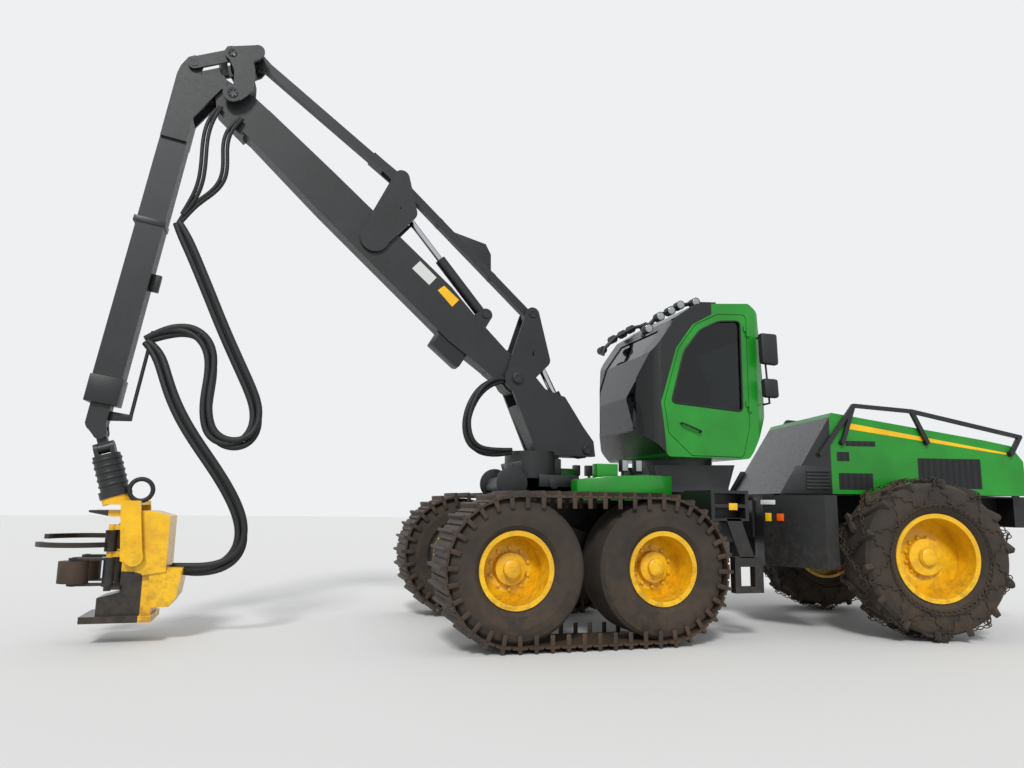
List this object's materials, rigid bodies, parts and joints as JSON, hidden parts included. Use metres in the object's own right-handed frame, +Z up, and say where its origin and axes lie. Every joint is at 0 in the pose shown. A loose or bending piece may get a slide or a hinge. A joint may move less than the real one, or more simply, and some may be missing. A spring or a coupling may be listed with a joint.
{
  "type": "forestry harvester",
  "caption": "Wheeled forestry harvester: tracked front bogie, turning cab, parallel crane with stick, rotator and felling head, and a steered rear unit with the engine.",
  "frame": {"origin": "on the ground under the middle of the machine's box", "axes": "+X forward along the front unit, +Y to its left, +Z up"},
  "size_m": [11.0429, 3.5675, 6.246],
  "materials": {
    "black_paint": "satin black paint",
    "chromed_rod": "chromed rod",
    "engine_iron": "cast iron",
    "green_paint": "gloss green paint",
    "grey_paint": "satin grey paint",
    "knife_steel": "worn steel",
    "seat_cloth": "woven seat cloth",
    "track_steel": "worn muddy steel",
    "tyre": "muddy tyre rubber",
    "window_glass": "tinted window glass",
    "yellow_paint": "gloss yellow paint"
  },
  "bodies": {
    "front_unit": {"front_frame": "black_paint", "front_covers": "green_paint", "ladder": "black_paint", "cab_base": "grey_paint", "crane_base": "black_paint", "bogie_beam_left": "black_paint", "bogie_beam_right": "black_paint", "bogie_tyres_left": "tyre", "bogie_tyres_right": "tyre", "bogie_rims_left": "yellow_paint", "bogie_rims_right": "yellow_paint", "track_left": "track_steel", "track_right": "track_steel"},
    "cab": {"cab_shell": "green_paint", "cab_glass": "window_glass", "operator_seat": "seat_cloth"},
    "door": {"cab_door": "green_paint", "door_glass": "window_glass"},
    "turret": {"pillar": "black_paint"},
    "lift_barrel": {"lift_barrel": "black_paint"},
    "lift_rod": {"lift_rod": "chromed_rod"},
    "rocker": {"rocker": "black_paint"},
    "boom": {"main_boom": "black_paint"},
    "rear_drawbar": {"rear_drawbar": "black_paint"},
    "mid_rocker": {"mid_rocker": "black_paint"},
    "front_drawbar": {"front_drawbar": "black_paint"},
    "bell_crank": {"bell_crank": "black_paint"},
    "knuckle_link": {"knuckle_link": "black_paint"},
    "reach_barrel": {"reach_barrel": "black_paint"},
    "reach_rod": {"reach_rod": "chromed_rod"},
    "stick": {"stick": "black_paint"},
    "extension": {"extension": "black_paint"},
    "tip_link": {"tip_link": "black_paint"},
    "rotator": {"rotator": "black_paint"},
    "yoke": {"head_yoke": "yellow_paint"},
    "head": {"head_frame": "yellow_paint"},
    "knife_left": {"knife_left": "knife_steel"},
    "knife_right": {"knife_right": "knife_steel"},
    "arm_left": {"feed_arm_left": "black_paint"},
    "arm_right": {"feed_arm_right": "black_paint"},
    "roller_left": {"feed_roller_left": "track_steel"},
    "roller_right": {"feed_roller_right": "track_steel"},
    "rear_unit": {"rear_frame": "black_paint", "side_boxes": "black_paint", "engine_block": "engine_iron"},
    "hood": {"engine_hood": "green_paint", "guard_rail": "black_paint"},
    "rear_wheel_left": {"rear_tyre_left": "tyre", "rear_rim_left": "yellow_paint"},
    "rear_wheel_right": {"rear_tyre_right": "tyre", "rear_rim_right": "yellow_paint"},
    "steer_barrel_left": {"steer_barrel_left": "black_paint"},
    "steer_barrel_right": {"steer_barrel_right": "black_paint"},
    "steer_rod_left": {"steer_rod_left": "chromed_rod"},
    "steer_rod_right": {"steer_rod_right": "chromed_rod"}
  },
  "joints": [
    {"name": "steering", "type": "hinge", "parent": "front_unit", "child": "rear_unit", "pos_m": [-1.563, -0.282, 1.2], "axis": [0, 0, 1], "range_deg": [-27.4, 52.6]},
    {"name": "steer_barrel_left_swing", "type": "hinge", "parent": "front_unit", "child": "steer_barrel_left", "pos_m": [-0.933, 0.178, 1.21], "axis": [0, 0, 1], "range_deg": [-4.12, 7.9]},
    {"name": "steer_rod_left_slide", "type": "slide", "parent": "steer_barrel_left", "child": "steer_rod_left", "axis": [-0.9847, -0.1744, 0], "range_m": [-0.1455, 0.2793]},
    {"name": "steer_barrel_right_swing", "type": "hinge", "parent": "front_unit", "child": "steer_barrel_right", "pos_m": [-0.933, -0.742, 1.21], "axis": [0, 0, 1], "range_deg": [-4.12, 7.9]},
    {"name": "steer_rod_right_slide", "type": "slide", "parent": "steer_barrel_right", "child": "steer_rod_right", "axis": [-0.968, 0.2509, 0], "range_m": [-0.2795, 0.1456]},
    {"name": "rear_wheel_left_spin", "type": "hinge", "parent": "rear_unit", "child": "rear_wheel_left", "pos_m": [-3.25088, 1.33515, 0.844], "axis": [0.2181, 0.9759, 0], "continuous": true},
    {"name": "rear_wheel_right_spin", "type": "hinge", "parent": "rear_unit", "child": "rear_wheel_right", "pos_m": [-3.77879, -1.02657, 0.844], "axis": [0.2181, 0.9759, 0], "continuous": true},
    {"name": "hood_open", "type": "hinge", "parent": "rear_unit", "child": "hood", "pos_m": [-5.0275, 0.49241, 1.545], "axis": [-0.2181, -0.9759, 0], "range_deg": [0, 50]},
    {"name": "cab_turn", "type": "hinge", "parent": "front_unit", "child": "cab", "pos_m": [-1.213, -0.282, 1.85], "axis": [0, 0, 1], "range_deg": [-80, 80]},
    {"name": "door_open", "type": "hinge", "parent": "cab", "child": "door", "pos_m": [-1.72, 0.535, 2.5], "axis": [0, 0, 1], "range_deg": [0, 75]},
    {"name": "crane_turn", "type": "hinge", "parent": "front_unit", "child": "turret", "pos_m": [0.637, -0.282, 1.9], "axis": [0, 0, -1], "range_deg": [-110, 110]},
    {"name": "boom_lift", "type": "hinge", "parent": "turret", "child": "rocker", "pos_m": [0.879, -0.282, 2.746], "axis": [0, -1, 0], "range_deg": [-25, 30]},
    {"name": "lift_barrel_swing", "type": "hinge", "parent": "turret", "child": "lift_barrel", "pos_m": [0.041, -0.282, 1.963], "axis": [0, -1, 0], "range_deg": [-0.82, 0.99]},
    {"name": "lift_rod_slide", "type": "slide", "parent": "lift_barrel", "child": "lift_rod", "axis": [0.4556, 0, 0.8902], "range_m": [-0.1984, 0.1654]},
    {"name": "boom_reach", "type": "hinge", "parent": "rocker", "child": "boom", "pos_m": [0.879, -0.282, 2.746], "axis": [0, -1, 0], "range_deg": [-36, 10]},
    {"name": "mid_rocker_swing", "type": "hinge", "parent": "boom", "child": "mid_rocker", "pos_m": [2.53725, -0.282, 4.23402], "axis": [0, -1, 0], "range_deg": [-9.89, 35.6]},
    {"name": "rear_drawbar_swing", "type": "hinge", "parent": "rocker", "child": "rear_drawbar", "pos_m": [0.691, -0.282, 3.519], "axis": [0, -1, 0], "range_deg": [-37.58, 10.44]},
    {"name": "front_drawbar_swing", "type": "hinge", "parent": "mid_rocker", "child": "front_drawbar", "pos_m": [2.26525, -0.282, 4.96902], "axis": [0, -1, 0], "range_deg": [-37.66, 10.46]},
    {"name": "bell_crank_swing", "type": "hinge", "parent": "boom", "child": "bell_crank", "pos_m": [4.11052, -0.282, 5.64605], "axis": [0, -1, 0], "range_deg": [-13.89, 50]},
    {"name": "knuckle_link_swing", "type": "hinge", "parent": "bell_crank", "child": "knuckle_link", "pos_m": [4.14152, -0.282, 6.10305], "axis": [0, -1, 0], "range_deg": [-9.25, 2.57]},
    {"name": "stick_swing", "type": "hinge", "parent": "boom", "child": "stick", "pos_m": [4.27837, -0.282, 5.78539], "axis": [0, -1, 0], "range_deg": [-22.42, 80.71]},
    {"name": "reach_barrel_swing", "type": "hinge", "parent": "boom", "child": "reach_barrel", "pos_m": [1.24038, -0.282, 3.47154], "axis": [0, -1, 0], "range_deg": [-3.24, 0.9]},
    {"name": "reach_rod_slide", "type": "slide", "parent": "reach_barrel", "child": "reach_rod", "axis": [0.6423, 0, 0.7665], "range_m": [-0.2997, 0.0833]},
    {"name": "extension_slide", "type": "slide", "parent": "stick", "child": "extension", "axis": [-0.1495, 0, 0.9888], "range_m": [-1.2, 0]},
    {"name": "tip_swing", "type": "hinge", "parent": "extension", "child": "tip_link", "pos_m": [5.09089, -0.282, 1.971], "axis": [0, 1, 0], "range_deg": [-60, 60]},
    {"name": "tip_sway", "type": "hinge", "parent": "tip_link", "child": "rotator", "pos_m": [5.04654, -0.282, 1.82771], "axis": [0.9553, 0, -0.2957], "range_deg": [-35, 35]},
    {"name": "head_turn", "type": "hinge", "parent": "rotator", "child": "yoke", "pos_m": [5.04654, -0.282, 1.82771], "axis": [0.2957, 0, 0.9553], "continuous": true},
    {"name": "head_tilt", "type": "hinge", "parent": "yoke", "child": "head", "pos_m": [4.65464, -0.282, 0.80062], "axis": [0, 1, 0], "range_deg": [0, 85]},
    {"name": "knife_left_swing", "type": "hinge", "parent": "head", "child": "knife_left", "pos_m": [4.86464, -0.047, 0.95062], "axis": [0, 0, 1], "range_deg": [-15, 45]},
    {"name": "arm_left_swing", "type": "hinge", "parent": "head", "child": "arm_left", "pos_m": [4.86464, -0.047, 0.60062], "axis": [0, 0, 1], "range_deg": [-15, 35]},
    {"name": "roller_left_spin", "type": "hinge", "parent": "arm_left", "child": "roller_left", "pos_m": [5.15464, -0.037, 0.60062], "axis": [0, 0, 1], "continuous": true},
    {"name": "knife_right_swing", "type": "hinge", "parent": "head", "child": "knife_right", "pos_m": [4.86464, -0.517, 0.95062], "axis": [0, 0, -1], "range_deg": [-15, 45]},
    {"name": "arm_right_swing", "type": "hinge", "parent": "head", "child": "arm_right", "pos_m": [4.86464, -0.517, 0.60062], "axis": [0, 0, -1], "range_deg": [-15, 35]},
    {"name": "roller_right_spin", "type": "hinge", "parent": "arm_right", "child": "roller_right", "pos_m": [5.15464, -0.527, 0.60062], "axis": [0, 0, 1], "continuous": true}
  ],
  "couplings": [
    {"joint": "steer_barrel_left_swing", "follows": "steering", "ratio": 0.15025},
    {"joint": "steer_rod_left_slide", "follows": "steering", "m_per_rad": 0.30425},
    {"joint": "steer_barrel_right_swing", "follows": "steering", "ratio": 0.15025},
    {"joint": "steer_rod_right_slide", "follows": "steering", "m_per_rad": -0.3045},
    {"joint": "lift_barrel_swing", "follows": "boom_lift", "ratio": 0.033},
    {"joint": "lift_rod_slide", "follows": "boom_lift", "m_per_rad": -0.379},
    {"joint": "mid_rocker_swing", "follows": "boom_reach", "ratio": -0.989},
    {"joint": "rear_drawbar_swing", "follows": "boom_reach", "ratio": 1.044},
    {"joint": "front_drawbar_swing", "follows": "boom_reach", "ratio": 1.046},
    {"joint": "bell_crank_swing", "follows": "boom_reach", "ratio": -1.389},
    {"joint": "knuckle_link_swing", "follows": "boom_reach", "ratio": 0.257},
    {"joint": "stick_swing", "follows": "boom_reach", "ratio": -2.242},
    {"joint": "reach_barrel_swing", "follows": "boom_reach", "ratio": 0.09},
    {"joint": "reach_rod_slide", "follows": "boom_reach", "m_per_rad": 0.477}
  ]
}
